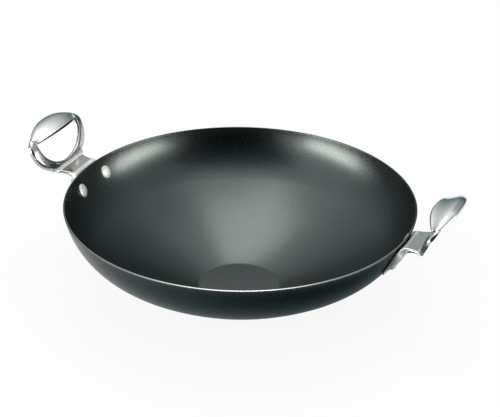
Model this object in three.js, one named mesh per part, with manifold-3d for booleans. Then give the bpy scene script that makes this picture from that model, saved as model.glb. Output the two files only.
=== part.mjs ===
// Iron wok: a pressed bowl with two riveted sheet handles, each ending in a ring with a polished grip.
// Millimetres, +Z up, base centre at the origin, handles along X.
import * as THREE from 'three';
import { mergeVertices } from 'three/addons/utils/BufferGeometryUtils.js';
import Module from 'manifold-3d';

const wasm = await Module();
wasm.setup();
const { degToRad, lerp, smoothstep } = THREE.MathUtils;

// Bowl: flat base, wide dish, steep wall
const rimRadius = 150;
const bowlHeight = 84;
const baseRadius = 36;
const bowlSheet = 1.6;
const dishArcRadius = 320;
const wallArcRadius = 65;
const rimSlope = degToRad(79.5);

// Gap between pieces that touch on the real wok
const clearance = 0.3;

// Handle: bracket on the wall, rising neck, crease
const handleSheet = 1.5;
const edgeRound = 1.2;
const bracketHalfWidth = 31;
const bracketDrop = 22;
const bracketShoulder = 4;
const bracketCorner = 5;
const bracketBend = 6;
const neckHalfWidth = 17;
const neckRise = degToRad(5);
const neckFlange = 1.8;
const gussetInset = 1;
const neckWaist = 1;
const creaseReach = 17.4;
const creaseRise = 1;
const creaseHalfWidth = 19.5;
const creaseRadius = 3;
const creaseLap = 1;

// Ring above the crease, of crowned sheet, measured in its own tilted plane from the crease line
const ringTilt = degToRad(64);
const ringHalfWidth = 41;
const ringCentre = 24;
const ringRise = 16.5;
const ringSquareness = 2.6;
const ringStep = 0.25;
const ringCurlStart = 26;
const ringCurlRadius = 17;
const limbCrownRadius = 8;
const topCrownRadius = 9;
const limbFlange = 2.8;
const topFlange = 1.8;
const innerFlange = 2;
const shoulderStart = degToRad(12);
const shoulderEnd = degToRad(48);
const holeHalfWidth = 31.5;
const holeCentre = 28;
const holeDrop = 24;
const holeRise = 8;

// Grip: a domed leaf over the top of the ring, its edges measured from the ring's top and plane
const gripSheet = 1;
const gripLip = 2;
const gripEndLip = 0.8;
const gripCrown = 2;
const gripEndCrown = 1.2;
const gripEndInset = 9.5;
const gripEndSlant = 6.3;
const gripInnerDrop = 7.2;
const gripInnerLift = 11.7;
const gripInnerEndDrop = 9.3;
const gripInnerEndLift = 2.4;
const gripInnerBow = 1.6;
const gripOuterReach = 4.8;
const gripOuterBack = 7.4;
const gripOuterEndDrop = 5;
const gripOuterEndBack = 4;
const gripOuterBow = 2.4;

// Rivets, two a handle
const rivetSpread = 20.6;
const rivetDrop = 13.8;
const rivetShank = 5;
const rivetHead = 12.4;
const rivetHeadHeight = 2.3;
const rivetTail = 10;
const rivetTailHeight = 3;

// Facet counts
const bowlSides = 80;
const dishSteps = 4;
const wallSteps = 8;
const rimSteps = 4;
const bracketSteps = 8;
const bendSteps = 5;
const neckSteps = 6;
const creaseSteps = 4;
const strapColumns = 8;
const ringStations = 46;
const ringColumns = 4;
const gripStations = 17;
const gripColumns = 8;
const rivetSides = 18;
const headSteps = 4;

// Finishes
const blueIron = { color: 0x232b2b, roughness: 0.42, metalness: 0.6 };
const plateSteel = { color: 0xb4b6b4, roughness: 0.28, metalness: 1 };
const polishedSteel = { color: 0xd6d8d8, roughness: 0.1, metalness: 1 };
const rivetMetal = { color: 0xd0d2d0, roughness: 0.25, metalness: 1 };

// Solids and geometries

/** Merges shared corners and drops triangles that have collapsed to a line. */
function weld(geometry) {
  geometry.deleteAttribute('normal');
  geometry.deleteAttribute('uv');
  const merged = mergeVertices(geometry, 1e-5);
  const index = merged.getIndex().array;
  const kept = [];
  for (let i = 0; i < index.length; i += 3) {
    const [a, b, c] = [index[i], index[i + 1], index[i + 2]];
    if (a !== b && b !== c && c !== a) kept.push(a, b, c);
  }
  merged.setIndex(kept);
  return merged;
}

/** Turns a closed geometry into a solid that can be joined and cut. */
function solid(geometry) {
  const merged = weld(geometry);
  return new wasm.Manifold(new wasm.Mesh({
    numProp: 3,
    vertProperties: new Float32Array(merged.getAttribute('position').array),
    triVerts: new Uint32Array(merged.getIndex().array),
  }));
}

/** Turns a solid back into a geometry with flat facets. */
function geometryOf(body) {
  const mesh = body.getMesh();
  const geometry = new THREE.BufferGeometry();
  geometry.setAttribute('position', new THREE.BufferAttribute(new Float32Array(mesh.vertProperties), 3));
  geometry.setIndex(new THREE.BufferAttribute(new Uint32Array(mesh.triVerts), 1));
  geometry.computeVertexNormals();
  return geometry;
}

/** Revolves a profile of (radius, height) points about Z. */
function revolve(profile, sides) {
  const geometry = new THREE.LatheGeometry(profile, sides);
  geometry.rotateX(Math.PI / 2);
  return geometry;
}

/** Triangles that fill a sheet's section between its upper skin, listed first, and its lower skin. */
function sheetEnd(count, upperCount) {
  const triangles = [];
  let upper = 0;
  let lower = count - 1;
  while (upper < upperCount - 1 || lower > upperCount) {
    const upperShare = (upper + 1) / (upperCount - 1);
    const lowerShare = (count - lower) / (count - 1 - upperCount);
    if (lower === upperCount || (upper < upperCount - 1 && upperShare <= lowerShare)) {
      triangles.push([upper, upper + 1, lower]);
      upper += 1;
    } else {
      triangles.push([upper, lower - 1, lower]);
      lower -= 1;
    }
  }
  return triangles;
}

/**
 * Skins a row of sections, each a loop of as many 3-D points. With the number of points on a sheet's upper
 * skin, the row's two ends are filled. Without it, the last section joins the first.
 */
function loft(sections, upperCount) {
  const count = sections[0].length;
  const positions = sections.flat().flatMap((p) => [p.x, p.y, p.z]);
  const index = [];
  const spans = upperCount ? sections.length - 1 : sections.length;
  for (let s = 0; s < spans; s += 1) {
    const a = s * count;
    const b = ((s + 1) % sections.length) * count;
    for (let i = 0; i < count; i += 1) {
      const j = (i + 1) % count;
      index.push(a + i, b + i, b + j, a + i, b + j, a + j);
    }
  }
  if (upperCount) {
    const end = spans * count;
    for (const [a, b, c] of sheetEnd(count, upperCount)) {
      index.push(a, b, c);
      index.push(end + c, end + b, end + a);
    }
  }
  const geometry = new THREE.BufferGeometry();
  geometry.setAttribute('position', new THREE.Float32BufferAttribute(positions, 3));
  geometry.setIndex(index);
  return geometry;
}

/** Even steps from one number to another, both ends included. */
function steps(from, to, count) {
  return Array.from({ length: count + 1 }, (_, i) => lerp(from, to, i / count));
}

/** Point on an arc that sags below its centre, by slope angle from level. */
function sagPoint(centre, radius, slope) {
  return new THREE.Vector2(centre.x + radius * Math.sin(slope), centre.y - radius * Math.cos(slope));
}

/** Points along such an arc, from one slope to another. */
function sagArc(centre, radius, from, to, count) {
  return steps(from, to, count).map((slope) => sagPoint(centre, radius, slope));
}

// Bowl

const wallCentre = new THREE.Vector2(
  rimRadius - wallArcRadius * Math.sin(rimSlope),
  bowlHeight + wallArcRadius * Math.cos(rimSlope),
);

/** Centre of the dish arc, which starts at the base's edge and runs on into the wall arc. */
function findDishCentre() {
  const baseEdge = new THREE.Vector2(baseRadius, 0);
  const span = baseEdge.clone().sub(wallCentre);
  const apart = span.length();
  const toWall = dishArcRadius - wallArcRadius;
  const along = (toWall ** 2 - dishArcRadius ** 2 + apart ** 2) / (2 * apart);
  const across = Math.sqrt(toWall ** 2 - along ** 2);
  const dir = span.divideScalar(apart);
  return new THREE.Vector2(
    wallCentre.x + dir.x * along + dir.y * across,
    wallCentre.y + dir.y * along - dir.x * across,
  );
}

const dishCentre = findDishCentre();
const blendSlope = Math.atan2(wallCentre.x - dishCentre.x, dishCentre.y - wallCentre.y);

/** One skin of the bowl from base to rim, set in from the outer skin. */
function bowlSkin(inset) {
  const dishRadius = dishArcRadius - inset;
  const baseSlope = Math.acos((dishCentre.y - inset) / dishRadius);
  const dish = sagArc(dishCentre, dishRadius, baseSlope, blendSlope, dishSteps);
  const wall = sagArc(wallCentre, wallArcRadius - inset, blendSlope, rimSlope, wallSteps);
  return [new THREE.Vector2(0, inset), ...dish, ...wall.slice(1)];
}

/** Half-round edge that joins the two skins at the rim. */
function rimEdge() {
  const middle = sagPoint(wallCentre, wallArcRadius - bowlSheet / 2, rimSlope);
  return sagArc(middle, bowlSheet / 2, rimSlope, rimSlope + Math.PI, rimSteps).slice(1, -1);
}

function bowlSolid() {
  const profile = [...bowlSkin(0), ...rimEdge(), ...bowlSkin(bowlSheet).reverse()];
  return solid(revolve(profile, bowlSides));
}

// Sheet handle

/** Unit normal on the left of a heading in the XZ plane: towards the bowl on the bracket, up on the neck. */
function leftOf(heading) {
  return new THREE.Vector2(-Math.sin(heading), Math.cos(heading));
}

const crease = new THREE.Vector2(rimRadius + creaseReach, bowlHeight + creaseRise);
const bracketSkinRadius = wallArcRadius + clearance;
const bendSkinRadius = bracketBend + handleSheet;
const gussetDepth = bendSkinRadius - gussetInset;

/** Centre of the bend that turns the bracket out into the neck. */
function findBendCentre() {
  const along = new THREE.Vector2(Math.cos(neckRise), Math.sin(neckRise));
  const start = crease.clone().addScaledVector(leftOf(neckRise), -bendSkinRadius).sub(wallCentre);
  const half = start.dot(along);
  const reach = bracketSkinRadius + bendSkinRadius;
  const travel = -half + Math.sqrt(half ** 2 - start.lengthSq() + reach ** 2);
  return start.addScaledVector(along, travel).add(wallCentre);
}

/** Stations of the handle's upper skin from the bracket's foot to the ring, with their distance along it. */
function strapStations() {
  const bendCentre = findBendCentre();
  const bendSlope = Math.atan2(bendCentre.x - wallCentre.x, wallCentre.y - bendCentre.y);
  const footSlope = Math.acos((wallCentre.y - bowlHeight + bracketDrop) / bracketSkinRadius);
  const turn = ringTilt - neckRise;
  const creaseCentre = crease.clone()
    .addScaledVector(leftOf(neckRise).add(leftOf(ringTilt)), creaseRadius / (1 + Math.cos(turn)));
  const stations = [];
  const place = (point, heading, stage) => {
    const last = stations.at(-1);
    const travel = last ? last.travel + last.point.distanceTo(point) : 0;
    stations.push({ point, heading, stage, travel });
  };
  for (const heading of steps(footSlope, bendSlope, bracketSteps)) {
    place(wallCentre.clone().addScaledVector(leftOf(heading), -bracketSkinRadius), heading, 'bracket');
  }
  for (const heading of steps(bendSlope, neckRise, bendSteps).slice(1)) {
    place(bendCentre.clone().addScaledVector(leftOf(heading), bendSkinRadius), heading, 'bend');
  }
  const neckStart = stations.at(-1).point;
  const neckEnd = creaseCentre.clone().addScaledVector(leftOf(neckRise), -creaseRadius);
  for (const t of steps(0, 1, neckSteps).slice(1, -1)) {
    place(neckStart.clone().lerp(neckEnd, t), neckRise, 'neck');
  }
  for (const heading of steps(neckRise, ringTilt, creaseSteps)) {
    place(creaseCentre.clone().addScaledVector(leftOf(heading), -creaseRadius), heading, 'crease');
  }
  const up = new THREE.Vector2(Math.cos(ringTilt), Math.sin(ringTilt));
  place(stations.at(-1).point.clone().addScaledVector(up, creaseLap), ringTilt, 'ring');
  return stations;
}

/** Distance along the strap at the last station of a stage. */
function travelAt(stations, stage) {
  return stations.findLast((station) => station.stage === stage).travel;
}

/** Half width of the strap: wide rounded bracket, waisted neck, then the crease. */
function strapHalfWidth(travel, bendEnd, creaseStart) {
  if (travel < bracketCorner) {
    return bracketHalfWidth - bracketCorner + Math.sqrt(bracketCorner ** 2 - (bracketCorner - travel) ** 2);
  }
  const waist = bendEnd + neckWaist;
  if (travel < waist) {
    return lerp(bracketHalfWidth, neckHalfWidth, smoothstep(travel, bracketShoulder, waist));
  }
  const flare = Math.min(1, (travel - waist) / (creaseStart - waist));
  return lerp(neckHalfWidth, creaseHalfWidth, flare ** 2);
}

/**
 * Section of pressed sheet between two edges: a flat or crowned web with its edges turned down. The upper
 * skin runs from the first edge to the last and the lower one back, as (across, height) points.
 */
function channelSection(from, to, firstDepth, lastDepth, crown, columns) {
  const bevel = edgeRound * (1 - Math.SQRT1_2);
  const web = (inset, drop) => steps(0, 1, columns).map((t) => (
    new THREE.Vector2(lerp(from + inset, to - inset, t), crown * (1 - (2 * t - 1) ** 2) - drop)
  ));
  const upper = [
    new THREE.Vector2(from, -firstDepth),
    new THREE.Vector2(from, -edgeRound),
    new THREE.Vector2(from + bevel, -bevel),
    ...web(edgeRound, 0),
    new THREE.Vector2(to - bevel, -bevel),
    new THREE.Vector2(to, -edgeRound),
    new THREE.Vector2(to, -lastDepth),
  ];
  const lower = [
    new THREE.Vector2(to - handleSheet, -lastDepth),
    ...web(handleSheet, handleSheet).reverse(),
    new THREE.Vector2(from + handleSheet, -firstDepth),
  ];
  return { upper, lower };
}

/** Bracket and neck as one strap, wrapped round the bowl at the wall and straight at the crease. */
function strapSolid() {
  const stations = strapStations();
  const bracketEnd = travelAt(stations, 'bracket');
  const bendEnd = travelAt(stations, 'bend');
  const creaseStart = travelAt(stations, 'neck');
  const creaseEnd = travelAt(stations, 'crease');
  const outlines = stations.map(({ travel }) => {
    const half = strapHalfWidth(travel, bendEnd, creaseStart);
    const rising = lerp(handleSheet, gussetDepth, smoothstep(travel, bracketCorner, bracketEnd));
    const easing = lerp(rising, neckFlange, smoothstep(travel, bracketEnd, creaseStart));
    const depth = lerp(easing, handleSheet, smoothstep(travel, creaseStart, creaseEnd));
    return channelSection(-half, half, depth, depth, 0, strapColumns);
  });
  const sections = stations.map(({ point, heading, travel }, i) => {
    const left = leftOf(heading);
    const straight = smoothstep(travel, bendEnd, creaseStart);
    const { upper, lower } = outlines[i];
    return [...upper, ...lower].map(({ x: across, y: height }) => {
      const radius = point.x + height * left.x;
      const sag = radius - Math.sqrt(radius ** 2 - across ** 2);
      return new THREE.Vector3(radius - (1 - straight) * sag, across, point.y + height * left.y);
    });
  });
  return solid(loft(sections, outlines[0].upper.length));
}

/** Point by the ring's tilted plane: across, up from the crease, and height above the plane. */
function planePoint(across, up, height) {
  return new THREE.Vector3(
    crease.x + up * Math.cos(ringTilt) - height * Math.sin(ringTilt),
    across,
    crease.y + up * Math.sin(ringTilt) + height * Math.cos(ringTilt),
  );
}

const ringTop = ringCentre + ringRise;
const ringDrop = ringCentre / Math.sqrt(1 - (creaseHalfWidth / ringHalfWidth) ** 2);

/** How far the ring's top has curled back from its plane at a distance up from the crease. */
function curlAt(up) {
  return Math.max(0, up - ringCurlStart) ** 2 / (2 * ringCurlRadius);
}

/** Sine or cosine of an angle round the ring, made squarer above the ring's middle. */
function squared(value, isTop) {
  return isTop ? Math.sign(value) * Math.abs(value) ** (2 / ringSquareness) : value;
}

/** Stations round the ring: hole edge, outer edge, rise of the crown and depth of the outer flange. */
function ringStationsRound() {
  return steps(0, 2 * Math.PI, ringStations).slice(0, -1).map((angle) => {
    const isTop = Math.sin(angle) > 0;
    const c = squared(Math.cos(angle), isTop);
    const s = squared(Math.sin(angle), isTop);
    const inner = new THREE.Vector2(holeHalfWidth * c, holeCentre + (isTop ? holeRise : holeDrop) * s);
    const outer = new THREE.Vector2(ringHalfWidth * c, ringCentre + (isTop ? ringRise : ringDrop) * s);
    const atCrease = outer.y <= 0;
    outer.y = Math.max(outer.y, 0);
    const shoulder = smoothstep(Math.sin(angle), Math.sin(shoulderStart), Math.sin(shoulderEnd));
    const depth = atCrease ? handleSheet : lerp(limbFlange, topFlange, shoulder);
    const crown = outer.distanceToSquared(inner) / (8 * lerp(limbCrownRadius, topCrownRadius, shoulder));
    return { inner, outer, depth, crown };
  });
}

/** Sweeps an outline made for each station's width round the ring. */
function sweepRing(outlineFor) {
  const sections = ringStationsRound().map((station) => {
    const across = station.outer.clone().sub(station.inner);
    const width = across.length();
    across.divideScalar(width);
    return outlineFor(width, station).map(({ x, y }) => {
      const point = station.inner.clone().addScaledVector(across, x);
      return planePoint(point.x, point.y, y + ringStep - curlAt(point.y));
    });
  });
  return solid(loft(sections));
}

function ringSolid() {
  return sweepRing((width, { depth, crown }) => {
    const { upper, lower } = channelSection(0, width, innerFlange, depth, crown, ringColumns);
    return [...upper, ...lower];
  });
}

/** The ring's own space with its clearance, which the grip is cut to fit. */
function ringRoom() {
  return sweepRing((width, { depth, crown }) => {
    const foot = -Math.max(innerFlange, depth) - clearance;
    return [
      new THREE.Vector2(-clearance, foot),
      new THREE.Vector2(-clearance, clearance),
      new THREE.Vector2(width / 2, crown + clearance),
      new THREE.Vector2(width + clearance, clearance),
      new THREE.Vector2(width + clearance, foot),
    ];
  });
}

// Grip

const gripHalfLength = ringHalfWidth - gripEndInset;

/** Upper and lower skins of the leaf at a place along it, whose ends slant out from the inner edge. */
function gripSection(across) {
  const outward = Math.abs(across) / gripHalfLength;
  const innerEdge = new THREE.Vector2(ringTop - gripInnerDrop, gripInnerLift)
    .lerp(new THREE.Vector2(ringTop - gripInnerEndDrop, gripInnerEndLift), outward ** gripInnerBow);
  const outerEdge = new THREE.Vector2(ringTop + gripOuterReach, -gripOuterBack)
    .lerp(new THREE.Vector2(ringTop - gripOuterEndDrop, -gripOuterEndBack), outward ** gripOuterBow);
  const crown = lerp(gripCrown, gripEndCrown, outward ** 2);
  const lip = lerp(gripLip, gripEndLip, outward ** 2);
  const chord = outerEdge.clone().sub(innerEdge);
  const depth = chord.length();
  chord.divideScalar(depth);
  const out = new THREE.Vector2(-chord.y, chord.x);
  const at = (t, drop, hem = 0) => {
    const spot = innerEdge.clone()
      .addScaledVector(chord, depth * t + hem)
      .addScaledVector(out, crown * (1 - (2 * t - 1) ** 2) - drop);
    return planePoint(across * (1 + (gripEndSlant / gripHalfLength) * t), spot.x, spot.y);
  };
  const inset = gripSheet / depth;
  const upper = [at(0, lip), ...steps(0, 1, gripColumns).map((t) => at(t, 0)), at(1, lip)];
  const lower = [
    at(1, lip, -gripSheet),
    ...steps(1 - inset, inset, gripColumns).map((t) => at(t, gripSheet)),
    at(0, lip, gripSheet),
  ];
  return { upper, lower };
}

function gripSolid() {
  const outlines = steps(gripHalfLength, -gripHalfLength, gripStations - 1).map(gripSection);
  const sections = outlines.map(({ upper, lower }) => [...upper, ...lower]);
  return solid(loft(sections, outlines[0].upper.length)).subtract(ringRoom());
}

// Rivets

const rivetSlope = Math.acos((wallCentre.y - bowlHeight + rivetDrop) / wallArcRadius);
const rivetRadius = wallCentre.x + wallArcRadius * Math.sin(rivetSlope);

/** Places a rivet's axis square to the wall, at its spread from the handle's middle. */
function rivetMatrix(spread) {
  const turn = new THREE.Matrix4().makeRotationZ(Math.asin(spread / rivetRadius));
  const seat = new THREE.Matrix4().makeTranslation(rivetRadius, 0, bowlHeight - rivetDrop);
  const lean = new THREE.Matrix4().makeRotationY(Math.PI - rivetSlope);
  return turn.multiply(seat).multiply(lean);
}

/** Profile of a domed head from its rim to its crown, on the side that the sign gives. */
function headProfile(radius, height, seat, sign) {
  return steps(0, Math.PI / 2, headSteps).map((angle) => (
    new THREE.Vector2(radius * Math.cos(angle), seat + sign * height * Math.sin(angle))
  ));
}

/** Solid rivet with its axis along Z: head inside the bowl, tail on the bracket. */
function rivetGeometry() {
  const innerWall = wallArcRadius - bowlSheet;
  const headRise = innerWall - Math.sqrt(innerWall ** 2 - (rivetHead / 2) ** 2);
  const headSeat = -bowlSheet - clearance - headRise;
  const tailSeat = clearance + handleSheet + clearance;
  const shank = rivetShank / 2;
  const profile = [
    ...headProfile(rivetHead / 2, rivetHeadHeight, headSeat, -1).reverse(),
    new THREE.Vector2(shank, headSeat),
    new THREE.Vector2(shank, tailSeat),
    ...headProfile(rivetTail / 2, rivetTailHeight, tailSeat, 1),
  ];
  profile[0].x = 0;
  profile.at(-1).x = 0;
  return weld(revolve(profile, rivetSides));
}

/** Clearance hole for a rivet's shank, through bowl and bracket. */
function rivetHole(spread) {
  const radius = rivetShank / 2 + clearance;
  const length = 2 * (bowlSheet + clearance + handleSheet);
  const geometry = new THREE.CylinderGeometry(radius, radius, length, rivetSides);
  geometry.rotateX(Math.PI / 2);
  geometry.applyMatrix4(rivetMatrix(spread));
  return solid(geometry);
}

// Assembly

const rivetPlaces = [-rivetSpread, rivetSpread];
const holes = rivetPlaces.map(rivetHole).reduce((all, hole) => all.add(hole));
const handleBody = strapSolid().add(ringSolid()).subtract(holes);
const bowlBody = bowlSolid().subtract(holes).subtract(holes.rotate([0, 0, 180]));

/** A named sub-part with its own finish. */
function piece(name, geometry, finish) {
  const mesh = new THREE.Mesh(geometry, new THREE.MeshStandardMaterial(finish));
  mesh.name = name;
  return mesh;
}

/** Handle, grip and rivets of one side, turned about the bowl's axis. */
function handleGroup(side, turn) {
  const group = new THREE.Group();
  group.rotation.z = turn;
  group.add(piece(`handle_${side}`, geometryOf(handleBody), plateSteel));
  group.add(piece(`grip_${side}`, geometryOf(gripSolid()), polishedSteel));
  for (const spread of rivetPlaces) {
    const place = spread * Math.cos(turn) < 0 ? 'front' : 'rear';
    const rivet = piece(`rivet_${side}_${place}`, rivetGeometry(), rivetMetal);
    rivet.applyMatrix4(rivetMatrix(spread));
    group.add(rivet);
  }
  return group;
}

const wok = new THREE.Group();
wok.name = 'wok';
wok.add(piece('wok_bowl', geometryOf(bowlBody), blueIron));
wok.add(handleGroup('right', 0));
wok.add(handleGroup('left', Math.PI));

export default wok;
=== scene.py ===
"""Iron wok with two riveted ring handles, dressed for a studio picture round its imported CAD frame."""

import logging
import math
from dataclasses import dataclass, field
from enum import Enum
from functools import partial
from typing import Any, Callable, ClassVar

import bmesh
import bpy
from bmesh.types import BMEdge, BMesh
from bpy.types import Material, Node, NodeSocket, NodeTree, Object
from mathutils import Matrix, Vector


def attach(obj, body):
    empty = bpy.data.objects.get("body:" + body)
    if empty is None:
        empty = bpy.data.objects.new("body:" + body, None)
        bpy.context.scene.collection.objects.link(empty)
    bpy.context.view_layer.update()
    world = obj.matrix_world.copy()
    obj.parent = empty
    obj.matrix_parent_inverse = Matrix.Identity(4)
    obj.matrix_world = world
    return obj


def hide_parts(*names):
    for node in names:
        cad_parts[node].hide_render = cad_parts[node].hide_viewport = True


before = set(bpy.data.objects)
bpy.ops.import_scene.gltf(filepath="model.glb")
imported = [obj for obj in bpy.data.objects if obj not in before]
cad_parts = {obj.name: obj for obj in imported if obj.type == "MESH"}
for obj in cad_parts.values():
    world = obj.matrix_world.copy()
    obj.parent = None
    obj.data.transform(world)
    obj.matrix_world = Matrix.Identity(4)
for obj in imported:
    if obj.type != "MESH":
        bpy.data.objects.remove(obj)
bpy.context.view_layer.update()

log = logging.getLogger("wok")

# The wok's sizes are in millimetres, as in the CAD, and Blender's metres come in at the last step
MM = 0.001
# A turned edge runs on at least this far past its arc, in millimetres
LEAST_LIP = 0.1
# Brings the top of the skewed crown share * share * (1 - share) to 1
SKEW_PEAK = 27 / 4
# Shares nearer than this are the same
SAME = 0.001
# Nearly all of a noise's values lie between these
NOISE_LOW, NOISE_HIGH = 0.3, 0.7


class Side(Enum):
    """The side of the bowl that a handle is on, with its turn about the bowl's axis."""

    RIGHT = ("right", 0.0)
    LEFT = ("left", math.pi)

    @property
    def turn(self) -> Matrix:
        """Turn from the right side to this one."""
        return Matrix.Rotation(self.value[1], 4, "Z")

    def node(self, piece: str) -> str:
        """Name of a piece or CAD node on this side."""
        return f"{piece}_{self.value[0]}"


class RivetPlace(Enum):
    """Where a rivet sits in its bracket on the right side, with the sign of its place along Y."""

    FRONT = ("front", -1)
    REAR = ("rear", 1)


def lerp(low: float, high: float, share: float) -> float:
    """Number that lies at a share of the way from one number to another."""
    return low + (high - low) * share


def smoothstep(value: float, low: float, high: float) -> float:
    """Soft rise from 0 at a low value to 1 at a high one."""
    share = min(1.0, max(0.0, (value - low) / (high - low)))
    return share * share * (3 - 2 * share)


def steps(low: float, high: float, count: int) -> list[float]:
    """Even steps from one number to another, both ends included."""
    return [lerp(low, high, i / count) for i in range(count + 1)]


def sag_point(centre: Vector, radius: float, slope: float) -> Vector:
    """Point on an arc that sags below its centre, by its slope from level."""
    return Vector((centre.x + radius * math.sin(slope), centre.y - radius * math.cos(slope)))


def sag_arc(centre: Vector, radius: float, low: float, high: float, count: int) -> list[Vector]:
    """Points along an arc that sags below its centre, from one slope to another."""
    return [sag_point(centre, radius, slope) for slope in steps(low, high, count)]


def left_of(heading: float) -> Vector:
    """Unit normal on the left of a heading in the XZ plane."""
    return Vector((-math.sin(heading), math.cos(heading)))


# Work in edit mode


def edit_mesh() -> BMesh:
    """Mesh of the object that is open in edit mode."""
    return bmesh.from_edit_mesh(bpy.context.edit_object.data)


def keep_mesh() -> None:
    """Puts what was changed in the open mesh into its object."""
    bmesh.update_edit_mesh(bpy.context.edit_object.data)


def open_new_piece() -> None:
    """Opens the primitive that was just added in edit mode, with edges as what is selected."""
    bpy.ops.object.mode_set(mode="EDIT")
    bpy.ops.mesh.select_mode(type="EDGE")
    bpy.ops.mesh.select_all(action="SELECT")


def select_edges(test: Callable[[BMEdge], bool]) -> None:
    """Selects the edges that pass a test, and nothing else.

    Args:
        test: Says whether an edge is selected.
    """
    bpy.ops.mesh.select_all(action="DESELECT")
    mesh = edit_mesh()
    for edge in mesh.edges:
        if test(edge):
            edge.select_set(True)
    keep_mesh()


def extrude_to(numbers: str, place: Callable[[int], tuple[Vector, float, float]]) -> None:
    """Extrudes the selected edges, moves each new point to its place and notes its turned edge on it.

    Args:
        numbers: Layer of the points' numbers.
        place: Gives a number's place in millimetres, how far an edge there is turned, and its depth.
    """
    bpy.ops.mesh.extrude_edges_indiv()
    mesh = edit_mesh()
    layers = mesh.verts.layers
    for vert in mesh.verts:
        if vert.select:
            point, turn, depth = place(vert[layers.int[numbers]])
            vert.co = point * MM
            vert[layers.float["turn"]], vert[layers.float["depth"]] = turn, depth
    keep_mesh()


def draw_ring(before: Vector, after: Vector) -> None:
    """Extrudes the selected ring of edges to another radius and height.

    Args:
        before: The ring's radius and height in millimetres.
        after: The new ring's radius and height.
    """
    bpy.ops.mesh.extrude_edges_indiv()
    grow = after.x / before.x
    bpy.ops.transform.resize(value=(grow, grow, 1), center_override=(0, 0, 0))
    bpy.ops.transform.translate(value=(0, 0, (after.y - before.y) * MM))


def turn_edges_down(radius: float, arc_steps: int) -> None:
    """Turns every open edge of a sheet down, each point by its own angle and depth.

    Args:
        radius: Outer radius of the turned edge in millimetres.
        arc_steps: Faces along the turned edge's arc.
    """
    mesh = edit_mesh()
    mesh.normal_update()
    number = mesh.verts.layers.int.new("edge_number")
    turn_of, depth_of = mesh.verts.layers.float["turn"], mesh.verts.layers.float["depth"]
    starts: list[tuple[Vector, Vector, Vector, float, float]] = []
    for vert in mesh.verts:
        rims = [edge for edge in vert.link_edges if edge.is_boundary]
        if len(rims) != 2:
            continue
        ends = [edge.other_vert(vert).co for edge in rims]
        out = vert.normal.cross(ends[1] - ends[0]).normalized()
        centres = [face.calc_center_median() for face in vert.link_faces]
        if out.dot(vert.co - sum(centres, Vector()) / len(centres)) < 0:
            out.negate()
        vert[number] = len(starts)
        starts.append((vert.co / MM, out, vert.normal.copy(), vert[turn_of], vert[depth_of]))
    select_edges(lambda edge: edge.is_boundary)
    for arc_step in range(1, arc_steps + 2):

        def place(number: int) -> tuple[Vector, float, float]:
            """Place of a point on the turned edge, with its angle and depth."""
            start, out, normal, turn, depth = starts[number]
            angle = turn * min(1.0, arc_step / arc_steps)
            point = start + out * radius * math.sin(angle) - normal * radius * (1 - math.cos(angle))
            if arc_step > arc_steps:
                rest = max(LEAST_LIP, depth - radius * math.sin(turn))
                point += (out * math.cos(turn) - normal * math.sin(turn)) * rest
            return point, turn, depth

        extrude_to("edge_number", place)


def agree_normals() -> None:
    """Makes all the normals agree, outwards on a closed piece."""
    bpy.ops.mesh.select_all(action="SELECT")
    bpy.ops.mesh.normals_make_consistent(inside=False)


def face_up(near: Vector) -> None:
    """Makes an open sheet's normals agree, and turns them so that they point up at one place.

    Args:
        near: Place on the sheet in millimetres.
    """
    agree_normals()
    mesh = edit_mesh()
    mesh.normal_update()
    face = min(mesh.faces, key=lambda f: (f.calc_center_median() - near * MM).length)
    if face.normal.z < 0:
        bpy.ops.mesh.flip_normals()


def copy_of(piece: Object, name: str, place: Matrix) -> Object:
    """Copies a piece with its own mesh, and puts the copy's place into that mesh.

    Args:
        piece: The object to copy.
        name: Name of the copy.
        place: How the copy is moved from the piece's own place.

    Returns:
        The copy.
    """
    bpy.ops.object.select_all(action="DESELECT")
    piece.select_set(True)
    bpy.context.view_layer.objects.active = piece
    bpy.ops.object.duplicate(linked=False)
    copy = bpy.context.object
    copy.name = copy.data.name = name
    copy.matrix_world = place
    bpy.ops.object.transform_apply(location=True, rotation=True, scale=True)
    return copy


# Finishes


def linear(hex_colour: str) -> tuple[float, float, float, float]:
    """Linear colour of an sRGB hex value.

    Args:
        hex_colour: Six hex digits.

    Returns:
        Red, green, blue and alpha for a socket.
    """
    parts = [int(hex_colour[i:i + 2], 16) / 255 for i in (0, 2, 4)]
    red, green, blue = (c / 12.92 if c <= 0.04045 else ((c + 0.055) / 1.055) ** 2.4 for c in parts)
    return red, green, blue, 1.0


def add_node(tree: NodeTree, kind: str, inputs: dict[Any, Any] | None = None, **settings: Any) -> Node:
    """Adds a node with its settings, constants and links.

    Args:
        tree: Tree that gets the node.
        kind: Blender's name for the kind of node, after ShaderNode.
        inputs: Constants and sources by input name or number. A node stands for its first output.
        settings: The node's own properties.

    Returns:
        The new node.
    """
    node = tree.nodes.new(f"ShaderNode{kind}")
    for key, value in settings.items():
        setattr(node, key, value)
    for key, value in (inputs or {}).items():
        source = value.outputs[0] if isinstance(value, Node) else value
        if isinstance(source, NodeSocket):
            tree.links.new(source, node.inputs[key])
        else:
            node.inputs[key].default_value = source
    return node


# Function add_node for one tree
Adder = Callable[..., Node]


def new_material(name: str) -> tuple[Material, Adder]:
    """Adds an empty node material.

    Args:
        name: Name of the material.

    Returns:
        The material, and what adds a node to it.
    """
    material = bpy.data.materials.new(name)
    material.use_nodes = True
    material.node_tree.nodes.clear()
    return material, partial(add_node, material.node_tree)


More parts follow.
